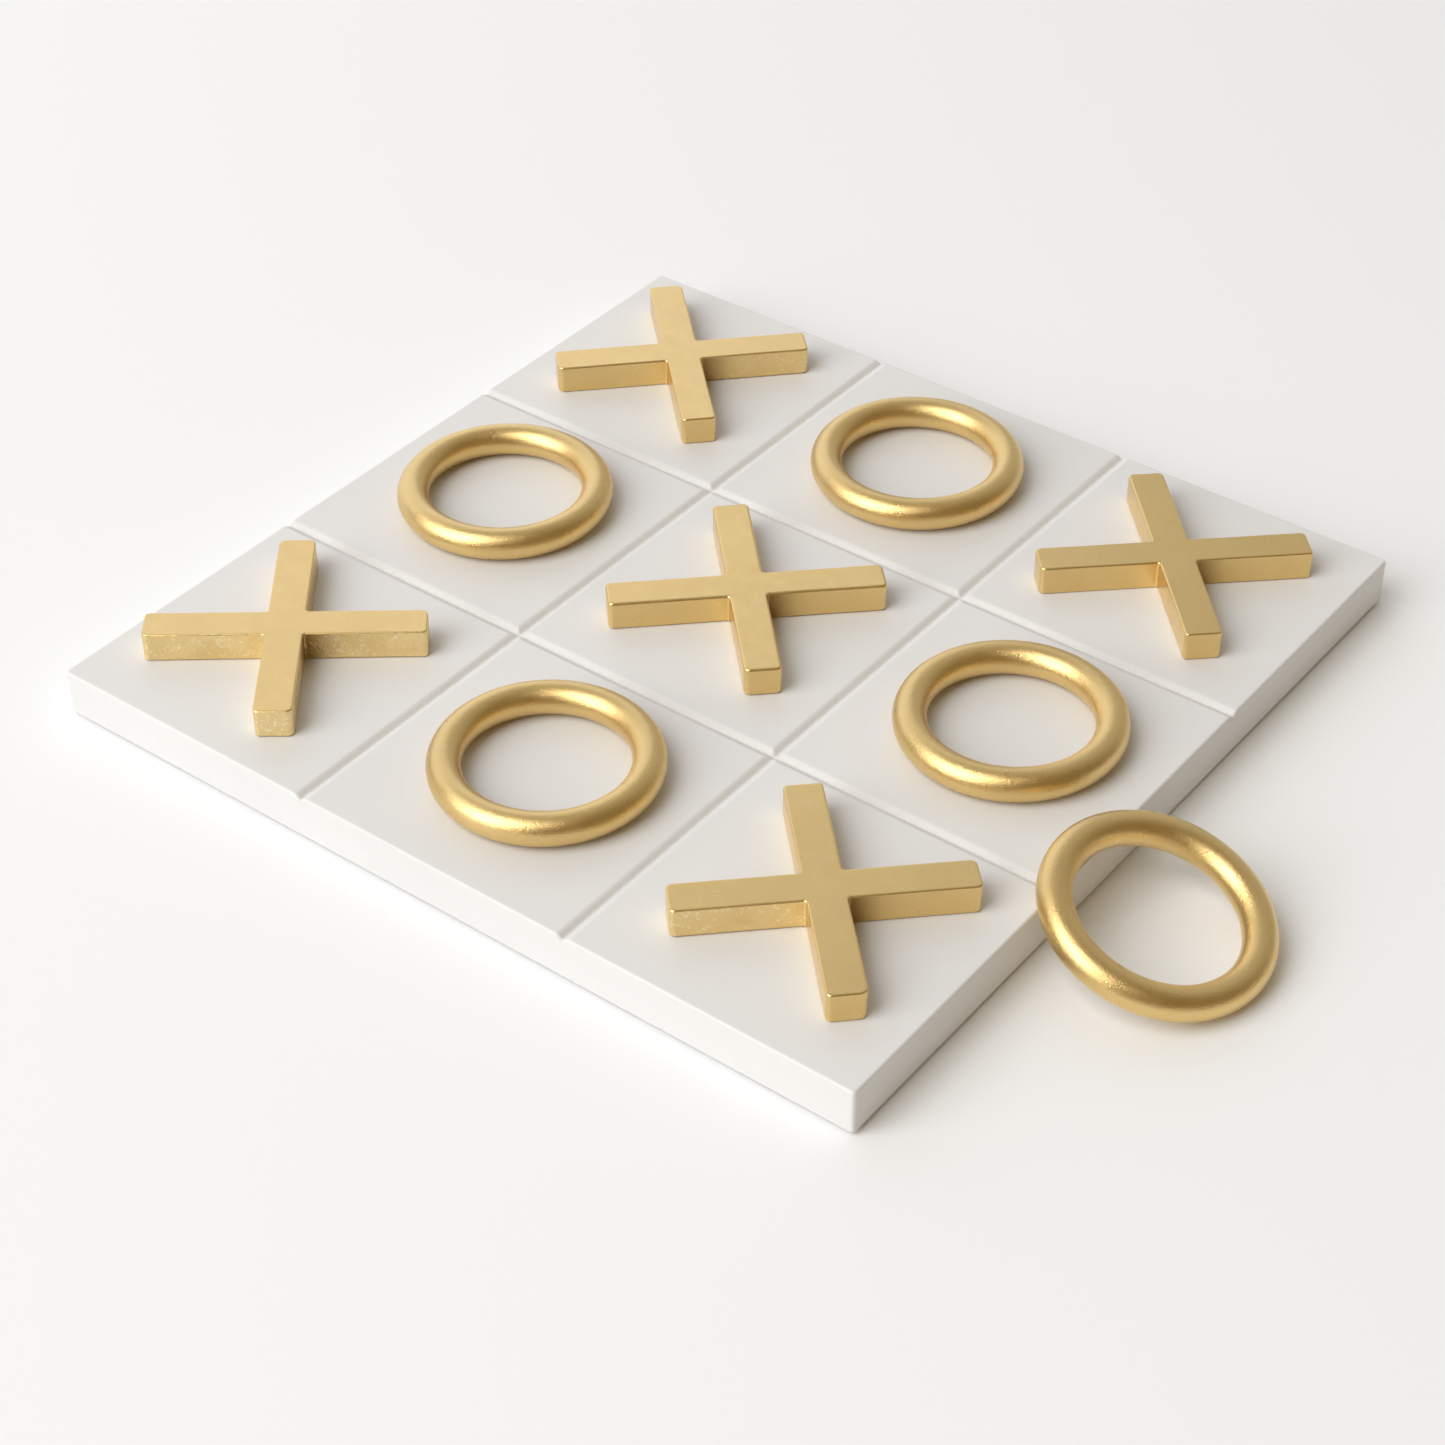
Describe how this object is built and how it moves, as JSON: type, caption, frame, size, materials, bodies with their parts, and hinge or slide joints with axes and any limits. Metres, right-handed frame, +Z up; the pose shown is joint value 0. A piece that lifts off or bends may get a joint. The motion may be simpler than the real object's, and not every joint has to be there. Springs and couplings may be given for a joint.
{
  "type": "tic tac toe set",
  "caption": "Square white board with grooves marking three rows of three squares, carrying brass crosses and rings that lift off; a spare ring leans on its side.",
  "frame": {"origin": "middle of the underside of the centre pad, in the table plane, under the board's centre", "axes": "+Z up off the table; +X along the board's front edge, towards the side where the spare ring leans; +Y along the board's right edge, towards the back"},
  "size_m": [0.3669, 0.305, 0.0289],
  "materials": {
    "white_lacquer": "matte warm white lacquer over fibreboard, edges softened, slightly rougher in the grooves",
    "satin_brass": "satin cast brass with a fine grain and small pits",
    "grey_felt": "dense self-adhesive felt"
  },
  "bodies": {
    "board": {"board": "white_lacquer", "pad_center": "grey_felt", "pad_front_left": "grey_felt", "pad_front_right": "grey_felt", "pad_back_left": "grey_felt", "pad_back_right": "grey_felt"},
    "x_center": {"x_center": "satin_brass"},
    "x_front_left": {"x_front_left": "satin_brass"},
    "x_front_right": {"x_front_right": "satin_brass"},
    "x_back_left": {"x_back_left": "satin_brass"},
    "x_back_right": {"x_back_right": "satin_brass"},
    "o_left": {"o_left": "satin_brass"},
    "o_front": {"o_front": "satin_brass"},
    "o_back": {"o_back": "satin_brass"},
    "o_right": {"o_right": "satin_brass"},
    "o_leaning": {"o_leaning": "satin_brass"}
  },
  "joints": [
    {"name": "x_center_lift", "type": "slide", "parent": "board", "child": "x_center", "axis": [0, 0, 1], "range_m": [0, 0.06]},
    {"name": "x_front_left_lift", "type": "slide", "parent": "board", "child": "x_front_left", "axis": [0, 0, 1], "range_m": [0, 0.06]},
    {"name": "x_front_right_lift", "type": "slide", "parent": "board", "child": "x_front_right", "axis": [0, 0, 1], "range_m": [0, 0.06]},
    {"name": "x_back_left_lift", "type": "slide", "parent": "board", "child": "x_back_left", "axis": [0, 0, 1], "range_m": [0, 0.06]},
    {"name": "x_back_right_lift", "type": "slide", "parent": "board", "child": "x_back_right", "axis": [0, 0, 1], "range_m": [0, 0.06]},
    {"name": "o_left_lift", "type": "slide", "parent": "board", "child": "o_left", "axis": [0, 0, 1], "range_m": [0, 0.06]},
    {"name": "o_front_lift", "type": "slide", "parent": "board", "child": "o_front", "axis": [0, 0, 1], "range_m": [0, 0.06]},
    {"name": "o_back_lift", "type": "slide", "parent": "board", "child": "o_back", "axis": [0, 0, 1], "range_m": [0, 0.06]},
    {"name": "o_right_lift", "type": "slide", "parent": "board", "child": "o_right", "axis": [0, 0, 1], "range_m": [0, 0.06]},
    {"name": "o_leaning_lift", "type": "slide", "parent": "board", "child": "o_leaning", "axis": [0, 0, 1], "range_m": [0, 0.06]}
  ]
}
